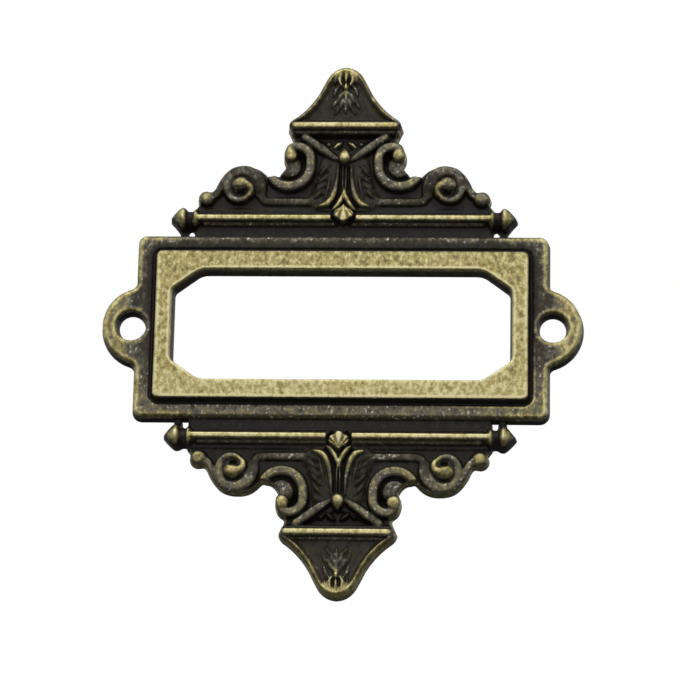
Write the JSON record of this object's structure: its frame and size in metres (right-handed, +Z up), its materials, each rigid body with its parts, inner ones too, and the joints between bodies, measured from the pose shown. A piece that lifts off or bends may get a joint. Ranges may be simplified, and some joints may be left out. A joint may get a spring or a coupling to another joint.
{
  "type": "drawer label holder",
  "caption": "Cast antique brass holder for a drawer label: flat plate with a raised frame round an open window, screw ears at the sides and a scrolled pediment above and below.",
  "frame": {"origin": "centre of the window on the back face, midway between the two screw holes", "axes": "+X to the right and +Z up as it hangs on the drawer, +Y into the drawer front, so the ornament faces -Y"},
  "size_m": [0.0604, 0.0034, 0.0688],
  "materials": {
    "antique_brass": "antique brass over dark patina: crests rubbed bright, hollows nearly black, satin"
  },
  "bodies": {
    "root": {"label_holder": "antique_brass"}
  },
  "joints": []
}
